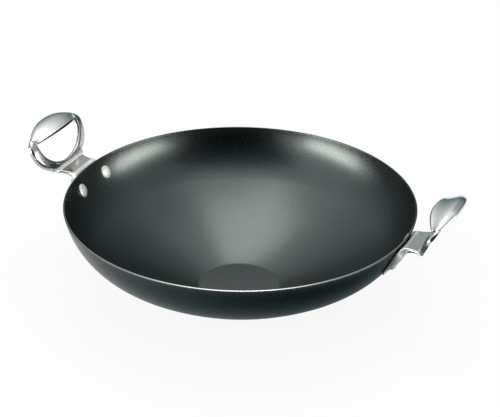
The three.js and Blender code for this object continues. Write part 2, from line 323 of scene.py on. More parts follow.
def end_metal(add: Adder, colour: NodeSocket, rough: Node, grain: Node, bump: tuple[float, float]) -> None:
    """Ends a metal's tree with its bump, its shader and the output.

    Args:
        add: Adds a node.
        colour: The metal's colour.
        rough: Its roughness.
        grain: Pattern of its bump.
        bump: The bump's strength, and its depth in millimetres.
    """
    strength, depth = bump
    bumped = add("Bump", {"Height": grain, "Strength": strength, "Distance": depth * MM})
    shader = add("BsdfPrincipled",
                 {"Base Color": colour, "Metallic": 1.0, "Roughness": rough, "Normal": bumped})
    add("OutputMaterial", {"Surface": shader})


@dataclass(frozen=True)
class BluedIron:
    """Sheet iron, pressed and heat-blued: a thin dark oxide that stays satin and a little green-blue."""

    dark: str = "505858"
    pale: str = "586060"
    # Paler colour painted on the flat of the base, a painted reflection
    flat_sheen: str = "666e6d"
    bare_and_glint: str = "eceeec"
    mottle_mm: float = 42.0
    mottle_detail: float = 4.0
    mottle_roughness: float = 0.6
    grain_mm: float = 0.9
    grain_detail: float = 2.0
    rough_low: float = 0.26
    rough_high: float = 0.29
    bump: tuple[float, float] = (0.015, 0.1)
    flat_radius: float = 35.5
    flat_fade: float = 2.0
    rim_radius: float = 150.0
    wear_and_glint_from: float = 83.97
    wear_and_glint_to: float = 84.12
    # Turn round the bowl where the painted glint on the rim is strongest, towards the camera
    glint_turn: float = math.radians(24)
    glint_from: float = 0.2
    glint_power: float = 5.0
    thin_from: float = 0.15
    thin_to: float = 0.5
    thin_share: float = 0.28

    def wear_and_glint(self, add: Adder, place: NodeSocket, height: NodeSocket) -> Node:
        """Adds the share of the trimmed rim that is painted pale: partly bare metal where the oxide is lost,
        mostly a painted glint that is strongest along its front, towards the camera.

        Args:
            add: Adds a node.
            place: Place on the bowl.
            height: Height on the bowl.

        Returns:
            Node of the share.
        """
        reach = self.rim_radius * MM
        front = (math.sin(self.glint_turn) / reach, -math.cos(self.glint_turn) / reach, 0.0)
        facing = add("VectorMath", {0: place, 1: front}, operation="DOT_PRODUCT").outputs["Value"]
        near = add("MapRange", {0: facing, 1: self.glint_from})
        peak = add("Math", {0: near, 1: self.glint_power}, operation="POWER")
        thin = add("MapRange", {0: facing, 1: self.thin_from, 2: self.thin_to, 4: self.thin_share})
        most = add("Math", {0: peak, 1: thin}, operation="MAXIMUM")
        rim = add("MapRange", {0: height, 1: self.wear_and_glint_from * MM, 2: self.wear_and_glint_to * MM})
        return add("Math", {0: rim, 1: most}, operation="MULTIPLY")

    def build(self) -> Material:
        """Makes the node material."""
        material, add = new_material("heat_blued_iron")
        place = add("TexCoord").outputs["Object"]
        mottle = add("TexNoise",
                     {"Vector": place, "Scale": 1 / (self.mottle_mm * MM), "Detail": self.mottle_detail,
                      "Roughness": self.mottle_roughness})
        # The grain of the scale is finer than a pixel, so it is drawn about a pixel wide
        grain = add("TexNoise",
                    {"Vector": place, "Scale": 1 / (self.grain_mm * MM), "Detail": self.grain_detail})
        tint = add("Mix", {0: mottle, 6: linear(self.dark), 7: linear(self.pale)},
                   data_type="RGBA").outputs[2]
        parts = add("SeparateXYZ", {0: place}).outputs
        # The flat of the base is painted a little paler than the dish round it, a painted reflection
        level = add("CombineXYZ", {0: parts["X"], 1: parts["Y"]})
        out = add("VectorMath", {0: level}, operation="LENGTH").outputs["Value"]
        fade_start = self.flat_radius - self.flat_fade
        flat = add("MapRange", {0: out, 1: fade_start * MM, 2: self.flat_radius * MM, 3: 1.0, 4: 0.0})
        oxide = add("Mix", {0: flat, 6: tint, 7: linear(self.flat_sheen)}, data_type="RGBA").outputs[2]
        # The trimmed rim is painted pale: partly its bare metal, mostly a painted glint along its front
        wear_and_glint = self.wear_and_glint(add, place, parts["Z"])
        colour = add("Mix", {0: wear_and_glint, 6: oxide, 7: linear(self.bare_and_glint)}, data_type="RGBA").outputs[2]
        rough = add("MapRange",
                    {0: grain, 1: NOISE_LOW, 2: NOISE_HIGH, 3: self.rough_low, 4: self.rough_high})
        end_metal(add, colour, rough, grain, self.bump)
        return material


@dataclass(frozen=True)
class SatinAndSheen:
    """Where a handle is rougher and painted paler: a painted highlight along its crease, and painted sheen on
    its bracket.
    """

    tint: str = "eef0ee"
    rough: float = 0.5
    crease_reach: float = 167.0
    crease_height: float = 85.6
    crease_width: float = 2.2
    bracket_reach: float = 153.0
    bracket_fade: float = 3.0

    def share(self, add: Adder, place: NodeSocket) -> Node:
        """Adds the share of the rougher finish and painted highlight at a place.

        Args:
            add: Adds a node.
            place: Place on the handle.

        Returns:
            Node of the share.
        """
        parts = add("SeparateXYZ", {0: place}).outputs
        out = add("Math", {0: parts["X"]}, operation="ABSOLUTE")
        spot = add("CombineXYZ", {0: out, 2: parts["Z"]})
        crease = (self.crease_reach * MM, 0.0, self.crease_height * MM)
        away = add("VectorMath", {0: spot, 1: crease}, operation="DISTANCE").outputs["Value"]
        width = self.crease_width * MM
        crease_sheen = add("MapRange", {0: away, 1: width / 2, 2: width, 3: 1.0, 4: 0.0})
        fade_end = self.bracket_reach + self.bracket_fade
        bracket = add("MapRange", {0: out, 1: self.bracket_reach * MM, 2: fade_end * MM, 3: 1.0, 4: 0.0})
        return add("Math", {0: crease_sheen, 1: bracket}, operation="MAXIMUM")


@dataclass(frozen=True)
class BrightSteel:
    """Bright steel sheet: a metal with a fine rolled or buffed grain that softens what it mirrors."""

    name: str
    dark: str
    pale: str
    grain_mm: float
    grain_stretch: float
    rough_low: float
    rough_high: float
    bump_strength: float
    satin: SatinAndSheen | None = None
    grain_detail: float = 3.0
    cloud_mm: float = 12.0
    cloud_detail: float = 2.0
    bump_depth: float = 0.05

    def build(self) -> Material:
        """Makes the node material."""
        material, add = new_material(self.name)
        place = add("TexCoord").outputs["Object"]
        along = add("Mapping", {"Vector": place, "Scale": (1.0, 1 / self.grain_stretch, 1.0)})
        grain = add("TexNoise",
                    {"Vector": along, "Scale": 1 / (self.grain_mm * MM), "Detail": self.grain_detail})
        cloud = add("TexNoise",
                    {"Vector": place, "Scale": 1 / (self.cloud_mm * MM), "Detail": self.cloud_detail})
        colour = add("Mix", {0: cloud, 6: linear(self.dark), 7: linear(self.pale)},
                     data_type="RGBA").outputs[2]
        rough = add("MapRange",
                    {0: grain, 1: NOISE_LOW, 2: NOISE_HIGH, 3: self.rough_low, 4: self.rough_high})
        # The handle is painted paler along its crease, a painted highlight, and on its bracket, a painted
        # sheen
        if self.satin:
            share = self.satin.share(add, place)
            colour = add("Mix", {0: share, 6: colour, 7: linear(self.satin.tint)},
                         data_type="RGBA").outputs[2]
            rough = add("MapRange", {0: share, 3: rough, 4: self.satin.rough})
        end_metal(add, colour, rough, grain, (self.bump_strength, self.bump_depth))
        return material


# Pressed handle sheet: cold-rolled, bright, its rolling grain runs across the handle; painted paler along its
# crease and on its bracket, a painted highlight
PRESSED_STEEL = BrightSteel("pressed_bright_steel", "bcbebc", "cccecc", 0.5, 8.0, 0.12, 0.2, 0.03, SatinAndSheen())
# Grip leaf: buffed to a near mirror
POLISHED_STEEL = BrightSteel("polished_steel", "dcdede", "e6e8e8", 0.4, 4.0, 0.14, 0.2, 0.02)
# Turned inner edge of the leaf: painted dark, a painted shade line beside the buffed face
LEAF_EDGE_SHADE = BrightSteel("leaf_edge_painted_shade", "1c1e1f", "242728", 0.4, 1.0, 0.45, 0.55, 0.03)
# Rivets: headed cold, bright but not buffed
RIVET_STEEL = BrightSteel("headed_rivet_steel", "eaecea", "f2f4f2", 0.6, 1.0, 0.5, 0.6, 0.06)


# Sub-assemblies


@dataclass
class Part:
    """A kind of piece: its materials, in the order of its faces' numbers, and the name of its slot."""

    materials: list[Material]
    slot: ClassVar[str]
    smooth_angle: ClassVar[float]

    def close(self, name: str, sheet: float = 0.0) -> Object:
        """Leaves edit mode and gives the piece its name, materials, thickness and shading.

        Args:
            name: Name of the piece.
            sheet: Thickness below an open sheet's upper skin in millimetres, or 0 for a closed piece.

        Returns:
            The finished object.
        """
        bpy.ops.object.mode_set(mode="OBJECT")
        piece = bpy.context.object
        piece.name = piece.data.name = name
        for material in self.materials:
            piece.data.materials.append(material)
        bpy.ops.object.shade_smooth_by_angle(angle=self.smooth_angle)
        if sheet:
            solidify = piece.modifiers.new("sheet", "SOLIDIFY")
            solidify.thickness = sheet * MM
            solidify.offset = -1
            solidify.use_even_offset = True
            bpy.ops.object.modifier_apply(modifier=solidify.name)
            bpy.ops.object.shade_smooth_by_angle(angle=self.smooth_angle)
        return piece

    def dress(self, piece: Object, node: str) -> None:
        """Puts a finished piece in the place of its CAD node.

        Args:
            piece: The finished object.
            node: CAD node that it stands for.
        """
        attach(piece, "root")
        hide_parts(node)
        log.info("%s: %d faces", piece.name, len(piece.data.polygons))


@dataclass
class Bowl(Part):
    """Pressed bowl: flat base, wide dish, steep wall and a trimmed rim with eased corners."""

    slot: ClassVar[str] = "blued_iron"
    smooth_angle: ClassVar[float] = math.radians(30)
    rim_radius: float = 150.0
    height: float = 84.0
    base_radius: float = 36.0
    sheet: float = 1.6
    dish_arc_radius: float = 320.0
    wall_arc_radius: float = 65.0
    rim_slope: float = math.radians(79.5)
    rim_ease: float = 0.3
    base_fillet: float = 9.0
    sides: int = 192
    fillet_steps: int = 4
    dish_steps: int = 16
    wall_steps: int = 22
    rim_steps: int = 8

    def __post_init__(self) -> None:
        """Finds the centres of the wall's and the dish's arcs, and the slope where they meet."""
        self.wall_centre = Vector((self.rim_radius - self.wall_arc_radius * math.sin(self.rim_slope),
                                   self.height + self.wall_arc_radius * math.cos(self.rim_slope)))
        span = Vector((self.base_radius, 0.0)) - self.wall_centre
        to_wall = self.dish_arc_radius - self.wall_arc_radius
        along = (to_wall ** 2 - self.dish_arc_radius ** 2 + span.length_squared) / (2 * span.length)
        across = math.sqrt(to_wall ** 2 - along ** 2)
        way = span.normalized()
        self.dish_centre = self.wall_centre + way * along + Vector((way.y, -way.x)) * across
        apart = self.wall_centre - self.dish_centre
        self.blend_slope = math.atan2(apart.x, -apart.y)

    def skin(self, inset: float) -> list[Vector]:
        """One skin's profile from the base's edge to the rim.

        Args:
            inset: Distance in from the outer skin.

        Returns:
            Points of radius and height.
        """
        dish_radius = self.dish_arc_radius - inset
        edge_slope = math.acos((self.dish_centre.y - inset) / dish_radius)
        edge = sag_point(self.dish_centre, dish_radius, edge_slope)
        set_back = self.base_fillet * math.tan(edge_slope / 2)
        fillet_centre = Vector((edge.x - set_back, inset + self.base_fillet))
        fillet = sag_arc(fillet_centre, self.base_fillet, 0, edge_slope, self.fillet_steps)
        dish_start = edge_slope + set_back / dish_radius
        dish = sag_arc(self.dish_centre, dish_radius, dish_start, self.blend_slope, self.dish_steps)
        wall = sag_arc(self.wall_centre, self.wall_arc_radius - inset, self.blend_slope, self.rim_slope,
                       self.wall_steps)
        return fillet + dish[1:] + wall[1:]

    def profile(self) -> list[Vector]:
        """Whole profile: outer skin up, over the rim and down the inner skin."""
        along = Vector((math.cos(self.rim_slope), math.sin(self.rim_slope)))
        quarter = math.pi / 2
        rim: list[Vector] = []
        for inset, turned in ((self.rim_ease, 0.0), (self.sheet - self.rim_ease, quarter)):
            corner = sag_point(self.wall_centre, self.wall_arc_radius - inset, self.rim_slope)
            start = self.rim_slope + turned
            rim += sag_arc(corner, self.rim_ease, start, start + quarter, self.rim_steps)
        outer, inner = self.skin(0)[:-1], self.skin(self.sheet)[:-1]
        return outer + [point - along * self.rim_ease for point in rim] + inner[::-1]

    def build(self) -> Object:
        """Draws the base's disc out along the profile, up the outside, over the rim and down the inside."""
        profile = self.profile()
        bpy.ops.object.select_all(action="DESELECT")
        bpy.ops.mesh.primitive_circle_add(vertices=self.sides, radius=profile[0].x * MM, fill_type="NGON",
                                          location=(0, 0, profile[0].y * MM))
        open_new_piece()
        bpy.ops.mesh.region_to_loop()
        for before, after in zip(profile, profile[1:]):
            draw_ring(before, after)
        bpy.ops.mesh.edge_face_add()
        agree_normals()
        return self.close("bowl")


@dataclass
class StrapRow:
    """One row across the strap: its place on the upper skin, half width, wrap and turned edges."""

    point: Vector
    half: float = 0.0
    wrap: float = 1.0
    turn: float = math.pi / 2
    depth: float = 0.0


@dataclass
class Handle(Part):
    """Pressed sheet handle: a ring round the finger hole, a crease, a waisted neck and a wall bracket."""

    slot: ClassVar[str] = "plate_steel"
    smooth_angle: ClassVar[float] = math.radians(40)
    bowl: Bowl
    clearance: float = 0.3
    sheet: float = 1.5
    edge_round: float = 1.5
    bracket_half_width: float = 31.0
    bracket_drop: float = 22.0
    bracket_shoulder: float = 4.0
    bracket_corner: float = 5.0
    bracket_bend: float = 6.0
    neck_half_width: float = 17.0
    neck_rise: float = math.radians(5)
    neck_flange: float = 1.8
    gusset_inset: float = 1.0
    neck_waist: float = 1.0
    crease_reach: float = 17.4
    crease_rise: float = 1.0
    crease_half_width: float = 19.5
    crease_radius: float = 3.0
    crease_flange: float = 2.4
    crease_turn: float = math.radians(50)
    ring_tilt: float = math.radians(64)
    ring_half_width: float = 41.0
    ring_centre: float = 24.0
    ring_rise: float = 16.5
    ring_squareness: float = 2.6
    ring_curl_start: float = 26.0
    ring_curl_radius: float = 17.0
    limb_crown_radius: float = 12.0
    limb_flatness: float = 6.0
    limb_lean: float = math.radians(8)
    top_flatness: float = 2.0
    top_crown_radius: float = 9.0
    limb_flange: float = 2.8
    top_flange: float = 1.8
    inner_flange: float = 2.0
    shoulder_start: float = math.radians(12)
    shoulder_end: float = math.radians(48)
    hole_half_width: float = 31.5
    hole_centre: float = 28.0
    hole_drop: float = 24.0
    hole_rise: float = 8.0
    limb_stations: int = 108
    crease_stations: int = 30
    crease_ease: float = 4.0
    ring_columns: int = 16
    crease_rows: int = 8
    neck_rows: int = 10
    bend_rows: int = 12
    bracket_rows: int = 18
    turn_steps: int = 4

    def __post_init__(self) -> None:
        """Works out the crease line, the ring's lower curve and where the crease's fillet leaves the ring."""
        self.crease = Vector((self.bowl.rim_radius + self.crease_reach, self.bowl.height + self.crease_rise))
        self.ring_top = self.ring_centre + self.ring_rise
        narrow = self.crease_half_width / self.ring_half_width
        self.ring_drop = self.ring_centre / math.sqrt(1 - narrow ** 2)
        self.fillet_up = self.crease_radius * math.tan((self.ring_tilt - self.neck_rise) / 2)
        self.corner_angle = math.asin((self.fillet_up - self.ring_centre) / self.ring_drop)
        self.bend_radius = self.bracket_bend + self.sheet
        self.gusset_depth = self.bend_radius - self.gusset_inset

    def plane_point(self, across: float, up: float, height: float) -> Vector:
        """Point by its distance across, its distance up the ring's plane from the crease and its height."""
        cos, sin = math.cos(self.ring_tilt), math.sin(self.ring_tilt)
        return Vector((self.crease.x + up * cos - height * sin, across,
                       self.crease.y + up * sin + height * cos))

    def curl_at(self, up: float) -> float:
        """How far the ring's top has curled back from its plane."""
        return max(0.0, up - self.ring_curl_start) ** 2 / (2 * self.ring_curl_radius)

    def angle_at(self, station: int) -> float:
        """Angle round the ring: up one limb, over the top and down the other, then along the crease."""
        if station <= self.limb_stations:
            return lerp(self.corner_angle, math.pi - self.corner_angle, station / self.limb_stations)
        share = (station - self.limb_stations) / self.crease_stations
        return lerp(math.pi - self.corner_angle, 2 * math.pi + self.corner_angle, share)

    def is_at_crease(self, station: int) -> bool:
        """Whether a station lies on the crease, its two corners included."""
        return station == 0 or station >= self.limb_stations

    def ring_edges(self, station: int) -> tuple[Vector, Vector, float]:
        """Edges of the ring at a station.

        Args:
            station: Number of the station.

        Returns:
            Hole edge and outer edge as (across, up), and the share of the shoulder.
        """
        angle = self.angle_at(station)
        cos, sin = math.cos(angle), math.sin(angle)
        shoulder = smoothstep(sin, math.sin(self.shoulder_start), math.sin(self.shoulder_end))
        is_top = sin > 0
        if is_top:
            power = 2 / self.ring_squareness
            cos, sin = math.copysign(abs(cos) ** power, cos), sin ** power
        inner = Vector((self.hole_half_width * cos,
                        self.hole_centre + (self.hole_rise if is_top else self.hole_drop) * sin))
        outer = Vector((self.ring_half_width * cos,
                        self.ring_centre + (self.ring_rise if is_top else self.ring_drop) * sin))
        outer.y = max(outer.y, self.fillet_up)
        return inner, outer, shoulder

    def ring_point(self, station: int, column: int) -> tuple[Vector, float, float]:
        """Point of the ring's upper skin.

        Args:
            station: Number of the station round the ring.
            column: Number of the column from the hole to the outer edge.

        Returns:
            The point, how far an edge there is turned, and its depth.
        """
        inner, outer, shoulder = self.ring_edges(station)
        across = outer - inner
        width = across.length
        crown = width ** 2 / (8 * lerp(self.limb_crown_radius, self.top_crown_radius, shoulder))
        flatness = lerp(self.limb_flatness, self.top_flatness, shoulder)
        slope = math.atan(2 * flatness * crown / width)
        inset = self.edge_round * (1 - math.sin(slope))
        past = station - self.limb_stations
        from_corner = min(abs(past), abs(self.crease_stations - past))
        at_crease = self.is_at_crease(station) and station != 0
        ease = smoothstep(from_corner, 0, self.crease_stations / self.crease_ease) if at_crease else 0.0
        share = column / self.ring_columns
        place = inset + share * (width - inset - inset * (1 - ease))
        # The crown's peak moves towards the hole where the ring runs flat into the crease
        hood = SKEW_PEAK * share * (1 - share) ** 2
        bump = lerp(1 - abs(2 * share - 1) ** flatness, hood, ease)
        spot = inner + across * (place / width)
        flange = self.inner_flange if column == 0 else lerp(self.limb_flange, self.top_flange, shoulder)
        lean = math.tan(self.limb_lean) * (1 - shoulder) * (1 - ease) * width * (share - 0.5)
        point = self.plane_point(spot.x, spot.y, crown * bump - lean - self.curl_at(spot.y))
        return point, math.pi / 2 - slope, flange

    def bend_centre(self) -> Vector:
        """Centre of the bend that turns the bracket out into the neck."""
        along = Vector((math.cos(self.neck_rise), math.sin(self.neck_rise)))
        start = self.crease - left_of(self.neck_rise) * self.bend_radius - self.bowl.wall_centre
        half = start.dot(along)
        reach = self.bowl.wall_arc_radius + self.clearance + self.bend_radius
        travel = -half + math.sqrt(half ** 2 - start.length_squared + reach ** 2)
        return start + along * travel + self.bowl.wall_centre

    def strap_rows(self) -> list[StrapRow]:
        """Rows of the strap's upper skin from just below the ring to the bracket's foot."""
        wall, skin = self.bowl.wall_centre, self.bowl.wall_arc_radius + self.clearance
        bend = self.bend_centre()
        bend_slope = math.atan2(bend.x - wall.x, wall.y - bend.y)
        foot_slope = math.acos((wall.y - self.bowl.height + self.bracket_drop) / skin)
        turn = self.ring_tilt - self.neck_rise
        fillet = self.crease + ((left_of(self.neck_rise) + left_of(self.ring_tilt))
                                * (self.crease_radius / (1 + math.cos(turn))))
        rows: list[StrapRow] = []
        corner_inset = self.ring_edges(0)[1].x
        for share in steps(0, 1, self.crease_rows)[1:]:
            heading = lerp(self.ring_tilt, self.neck_rise, share)
            half = lerp(self.crease_half_width, corner_inset, (1 - share) ** 2) - self.edge_round * share
            rows.append(StrapRow(fillet - left_of(heading) * self.crease_radius, half, 0.0,
                                 lerp(self.crease_turn, math.pi / 2, share),
                                 lerp(self.crease_flange, self.sheet, share)))
        neck_end = rows[-1].point
        neck_start = bend + left_of(self.neck_rise) * self.bend_radius
        neck_length = (neck_end - neck_start).length
        for share in steps(0, 1, self.neck_rows)[1:]:
            point = neck_end.lerp(neck_start, share)
            flare = max(0.0, 1 - share * neck_length / (neck_length - self.neck_waist)) ** 2
            half = lerp(self.neck_half_width, self.crease_half_width, flare) - self.edge_round
            rows.append(StrapRow(point, half, smoothstep(share, 0, 1)))
        for heading in steps(self.neck_rise, bend_slope, self.bend_rows)[1:]:
            rows.append(StrapRow(bend + left_of(heading) * self.bend_radius))
        foot_end = foot_slope + self.edge_round / skin
        for share in steps(0, 1, self.bracket_rows)[1:]:
            heading = lerp(bend_slope, foot_end, math.sin(share * math.pi / 2))
            rows.append(StrapRow(wall - left_of(heading) * skin))
        self.shape_bracket(rows, neck_length, skin * (bend_slope - foot_slope),
                           self.bend_radius * (bend_slope - self.neck_rise))
        return rows

    def shape_bracket(self, rows: list[StrapRow], neck_length: float, bracket_length: float,
                      bend_length: float) -> None:
        """Sets the width and the turned edges' depth of the rows below the crease.

        Args:
            rows: Rows from the ring to the foot.
            neck_length: Length of the straight neck.
            bracket_length: Length of the bracket along the wall.
            bend_length: Length of the bend along its upper skin.
        """
        travel = bracket_length + bend_length + neck_length
        bend_end = bracket_length + bend_length
        waist = bend_end + self.neck_waist
        corner = self.bracket_corner - self.edge_round
        for before, row in zip(rows[self.crease_rows - 1:], rows[self.crease_rows:]):
            travel -= (row.point - before.point).length
            if travel < waist:
                share = smoothstep(travel, self.bracket_shoulder, waist)
                row.half = lerp(self.bracket_half_width, self.neck_half_width, share) - self.edge_round
            rest = travel - self.edge_round
            if rest < corner:
                row.half += math.sqrt(max(0.0, corner ** 2 - (corner - rest) ** 2)) - corner
            rise = smoothstep(travel, self.bracket_corner, bracket_length)
            easing = smoothstep(travel, bracket_length, bend_end + neck_length)
            row.depth = lerp(lerp(self.sheet, self.gusset_depth, rise), self.neck_flange, easing)

    def strap_point(self, row: StrapRow, share: float) -> tuple[Vector, float, float]:
        """Point of the strap's upper skin, wrapped round the bowl where its row lies on the wall.

        Args:
            row: The row.
            share: Share of the row's half width.

        Returns:
            The point, how far an edge there is turned, and its depth.
        """
        across = row.half * share
        sag = row.point.x - math.sqrt(row.point.x ** 2 - across ** 2)
        return Vector((row.point.x - row.wrap * sag, across, row.point.y)), row.turn, row.depth

    def build_ring(self) -> None:
        """Draws the hole's edge out over the ring's crown to its outer edge, and down to the crease."""
        count = self.limb_stations + self.crease_stations
        bpy.ops.object.select_all(action="DESELECT")
        bpy.ops.mesh.primitive_circle_add(vertices=count, radius=self.hole_half_width * MM,
                                          fill_type="NOTHING")
        open_new_piece()
        mesh = edit_mesh()
        number = mesh.verts.layers.int.new("station")
        turn_of, depth_of = mesh.verts.layers.float.new("turn"), mesh.verts.layers.float.new("depth")
        mesh.verts.ensure_lookup_table()
        for station, vert in enumerate(mesh.verts):
            vert[number] = station
            point, vert[turn_of], vert[depth_of] = self.ring_point(station, 0)
            vert.co = point * MM
        keep_mesh()
        for column in range(1, self.ring_columns + 1):
            extrude_to("station", lambda station: self.ring_point(station, column))

    def build_strap(self) -> None:
        """Draws the ring's edge at the crease out along the neck and down the bracket."""
        mesh = edit_mesh()
        number = mesh.verts.layers.int["station"]
        outer = {vert.index for vert in mesh.verts if vert.select}
        ends = [vert for vert in mesh.verts if vert.select and self.is_at_crease(vert[number])]
        widest = max(abs(vert.co.y) for vert in ends)
        shares = {vert[number]: vert.co.y / widest for vert in ends}
        select_edges(lambda edge: all(v.index in outer and self.is_at_crease(v[number]) for v in edge.verts))
        for row in self.strap_rows():
            extrude_to("station", lambda station: self.strap_point(row, shares[station]))

    def build(self) -> Object:
        """Makes the ring and the strap as one open sheet, turns its edges down and gives it thickness."""
        self.build_ring()
        self.build_strap()
        neck = Vector((self.crease.x - self.crease_reach / 2, 0, self.crease.y))
        face_up(neck)
        turn_edges_down(self.edge_round, self.turn_steps)
        face_up(neck)
        return self.close("handle", self.sheet)


@dataclass
class Grip(Part):
    """Domed leaf of polished sheet over the top of a ring."""

    slot: ClassVar[str] = "polished_steel"
    smooth_angle: ClassVar[float] = math.radians(40)
    handle: Handle
    sheet: float = 1.0
    lip: float = 2.4
    end_lip: float = 1.3
    lip_round: float = 0.9
    lip_turn: float = math.radians(52)
    crown: float = 1.7
    end_crown: float = 1.3
    half_length: float = 31.5
    end_slant: float = 1.07
    inner_drop: float = 7.2
    inner_lift: float = 12.3
    inner_end_drop: float = 9.3
    inner_end_lift: float = 2.6
    inner_bow: float = 2.1
    outer_reach: float = 4.5
    outer_back: float = 7.4
    outer_end_drop: float = 5.0
    outer_end_back: float = 4.0
    outer_bow: float = 2.4
    stations: int = 64
    columns: int = 22
    lip_steps: int = 3

    def point(self, across: float, share: float) -> Vector:
        """Point of the leaf's upper skin.

        Args:
            across: Distance from the handle's middle.
            share: Share of the way from the inner edge to the outer one.

        Returns:
            The point in millimetres.
        """
        outward = abs(across) / self.half_length
        top = self.handle.ring_top
        inner = Vector((top - self.inner_drop, self.inner_lift)).lerp(
            Vector((top - self.inner_end_drop, self.inner_end_lift)), outward ** self.inner_bow)
        outer = Vector((top + self.outer_reach, -self.outer_back)).lerp(
            Vector((top - self.outer_end_drop, -self.outer_end_back)), outward ** self.outer_bow)
        chord = outer - inner
        inset = chord.normalized() * self.lip_round
        inner, chord = inner + inset, chord - 2 * inset
        out = Vector((-chord.y, chord.x)).normalized()
        crown = lerp(self.crown, self.end_crown, outward ** 2)
        # The crown rises slowly from the inner edge and falls off towards the outer one
        spot = inner + chord * share + out * crown * SKEW_PEAK * share ** 2 * (1 - share)
        return self.handle.plane_point(across * lerp(1, self.end_slant, share), spot.x, spot.y)

    def build(self) -> Object:
        """Shapes a grid into the leaf, turns its edges down and gives it thickness."""
        bpy.ops.object.select_all(action="DESELECT")
        bpy.ops.mesh.primitive_grid_add(x_subdivisions=self.stations, y_subdivisions=self.columns, size=2)
        open_new_piece()
        mesh = edit_mesh()
        layers = mesh.verts.layers
        layers.float.new("turn")
        layers.float.new("depth")
        layers.int.new("inner_side")
        for vert in mesh.verts:
            across, share = vert.co.x * self.half_length, (vert.co.y + 1) / 2
            vert[layers.float["turn"]] = self.lip_turn
            vert[layers.float["depth"]] = lerp(self.lip, self.end_lip, vert.co.x ** 2)
            vert[layers.int["inner_side"]] = int(share < SAME)
            vert.co = self.point(across, share) * MM
        keep_mesh()
        face_up(self.point(0, 0.5))
        turn_edges_down(self.lip_round, self.lip_steps)
        # The last faces of the lip along the inner edge get the second finish, painted dark as shade
        mesh = edit_mesh()
        inner_side = mesh.verts.layers.int["inner_side"]
        for face in mesh.faces:
            is_lip = any(edge.is_boundary for edge in face.edges)
            face.material_index = int(is_lip and all(vert[inner_side] for vert in face.verts))
        keep_mesh()
        face_up(self.point(0, 0.5))
        return self.close("grip", self.sheet)


@dataclass
class Rivet(Part):
    """Solid rivet through the wall and the bracket: domed head inside the bowl, smaller tail outside."""

    slot: ClassVar[str] = "rivet_metal"
    smooth_angle: ClassVar[float] = math.radians(35)
    bowl: Bowl
    handle: Handle
    spread: float = 20.6
    drop: float = 13.8
    shank: float = 5.0
    head: float = 12.4
    head_height: float = 1.8
    tail: float = 10.0
    tail_height: float = 3.0
    sides: int = 48
    rings: int = 24
    tail_steps: int = 10

    def build(self) -> Object:
        """Cuts a flattened ball for the head, then draws its edge out into the shank and the tail."""
        clear = self.handle.clearance
        inner_wall = self.bowl.wall_arc_radius - self.bowl.sheet
        sag = inner_wall - math.sqrt(inner_wall ** 2 - (self.head / 2) ** 2)
        head_seat = -self.bowl.sheet - sag
        tail_seat = clear + self.handle.sheet + clear
        bpy.ops.object.select_all(action="DESELECT")
        bpy.ops.mesh.primitive_uv_sphere_add(segments=self.sides, ring_count=self.rings,
                                             radius=self.head / 2 * MM)
        open_new_piece()
        bpy.ops.transform.resize(value=(1, 1, 2 * self.head_height / self.head), center_override=(0, 0, 0))
        bpy.ops.mesh.bisect(plane_co=(0, 0, 0), plane_no=(0, 0, 1), clear_outer=True)
        bpy.ops.mesh.select_all(action="SELECT")
        bpy.ops.transform.translate(value=(0, 0, head_seat * MM))
        select_edges(lambda edge: edge.is_boundary)
        path = [Vector((self.head / 2, head_seat)), Vector((self.shank / 2, head_seat)),
                Vector((self.shank / 2, tail_seat)), Vector((self.tail / 2, tail_seat))]
        for angle in steps(0, math.pi / 2, self.tail_steps)[1:-1]:
            path.append(Vector((self.tail / 2 * math.cos(angle),
                                tail_seat + self.tail_height * math.sin(angle))))
        for before, after in zip(path, path[1:]):
            draw_ring(before, after)
        bpy.ops.mesh.extrude_edges_indiv()
        bpy.ops.transform.translate(value=(0, 0, (tail_seat + self.tail_height - path[-1].y) * MM))
        bpy.ops.mesh.merge(type="CENTER")
        agree_normals()
        return self.close("rivet")

    def place(self, sign: int) -> Matrix:
        """Place of a rivet, its axis square to the wall.

        Args:
            sign: Side of the bracket that the rivet is on.

        Returns:
            The rivet's place in metres, on the right handle.
        """
        wall = self.bowl.wall_centre
        slope = math.acos((wall.y - self.bowl.height + self.drop) / self.bowl.wall_arc_radius)
        radius = wall.x + self.bowl.wall_arc_radius * math.sin(slope)
        turn = Matrix.Rotation(math.asin(sign * self.spread / radius), 4, "Z")
        seat = Matrix.Translation(Vector((radius, 0, self.bowl.height - self.drop)) * MM)
        return turn @ seat @ Matrix.Rotation(math.pi - slope, 4, "Y")


# Studio

# Lamps are a little warmer than the white surround, and cards a little blue-green where they are dark
WHITE = "ffffff"
LAMP_TINT = "fff4ea"
CARD_TINT = "c8f6ff"
CARD_TINT_END = 0.6


def seen_or_mirrored(add: Adder) -> Node:
    """Adds a number that is 1 for what the camera sees straight, mirrored or through glass, and 0 for light.

    Args:
        add: Adds a node.

    Returns:
        Node of the number.
    """
    path = add("LightPath").outputs
    mirrored = add("Math", {0: path["Is Glossy Ray"], 1: path["Is Transmission Ray"]}, operation="MAXIMUM")
    return add("Math", {0: path["Is Camera Ray"], 1: mirrored}, operation="MAXIMUM")


def light_card(card: Object, material: Material, add: Adder, tone: Node) -> None:
    """Gives a stage card its tone, and leaves it to what the metal mirrors.

    Args:
        card: The card.
        material: Its material, so far without a shader.
        add: Adds a node to it.
        tone: How bright it is.
    """
    share = add("MapRange", {0: tone, 2: CARD_TINT_END})
    tint = add("Mix", {0: share, 6: linear(CARD_TINT), 7: linear(WHITE)}, data_type="RGBA").outputs[2]
    glow = add("Emission", {"Color": tint, "Strength": tone})
    add("OutputMaterial", {"Surface": glow})
    card.data.materials.append(material)
    card.visible_camera = card.visible_diffuse = card.visible_shadow = False


def swing(azimuth: float, elevation: float) -> Matrix:
    """Turn whose Z points at an angle round from the front and at a height angle, with X level."""
    return Matrix.Rotation(azimuth, 4, "Z") @ Matrix.Rotation(math.pi / 2 - elevation, 4, "X")


